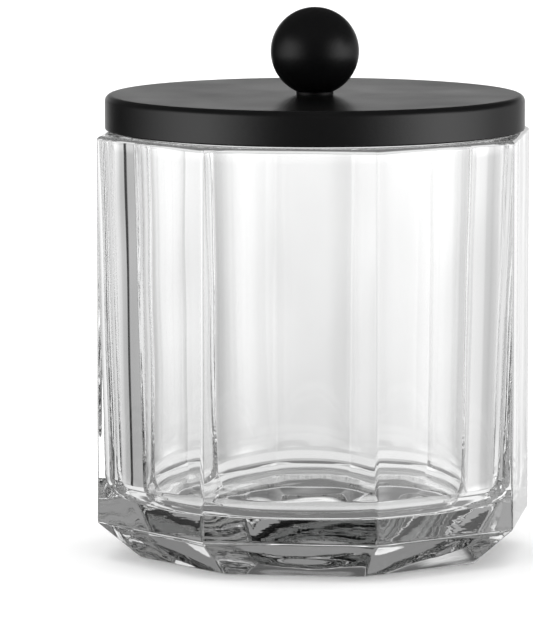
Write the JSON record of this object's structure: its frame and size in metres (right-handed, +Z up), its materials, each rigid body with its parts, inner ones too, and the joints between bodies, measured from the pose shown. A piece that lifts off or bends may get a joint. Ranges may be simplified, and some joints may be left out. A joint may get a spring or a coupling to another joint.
{
  "type": "apothecary jar",
  "caption": "Octagonal clear glass storage jar with a round bore and chamfered base, closed by a loose round black metal lid with a ball knob.",
  "frame": {"origin": "centre of the foot's underside, on the surface that the jar stands on", "axes": "+Z up through the ball knob; +X and +Y square to two of the jar's flats"},
  "size_m": [0.095, 0.095, 0.124],
  "materials": {
    "glass": "clear pressed glass, fire-polished",
    "seal": "translucent silicone rubber",
    "cap_paint": "satin black",
    "liner": "moulded natural white polyethylene",
    "washer_steel": "bright zinc plate",
    "spring_steel": "oiled spring steel",
    "screw_steel": "bright zinc plate",
    "knob_paint": "satin black"
  },
  "bodies": {
    "jar": {"jar": "glass"},
    "seal": {"seal_ring": "seal"},
    "lid": {"lid_cap": "cap_paint", "lid_liner": "liner", "flat_washer": "washer_steel", "lock_washer": "spring_steel", "knob_screw": "screw_steel", "knob": "knob_paint"}
  },
  "joints": [
    {"name": "lid_lift", "type": "slide", "parent": "jar", "child": "seal", "axis": [0, 0, 1], "range_m": [0, 0.06]},
    {"name": "lid_turn", "type": "hinge", "parent": "seal", "child": "lid", "pos_m": [0, 0, 0.1012], "axis": [0, 0, 1], "continuous": true}
  ]
}
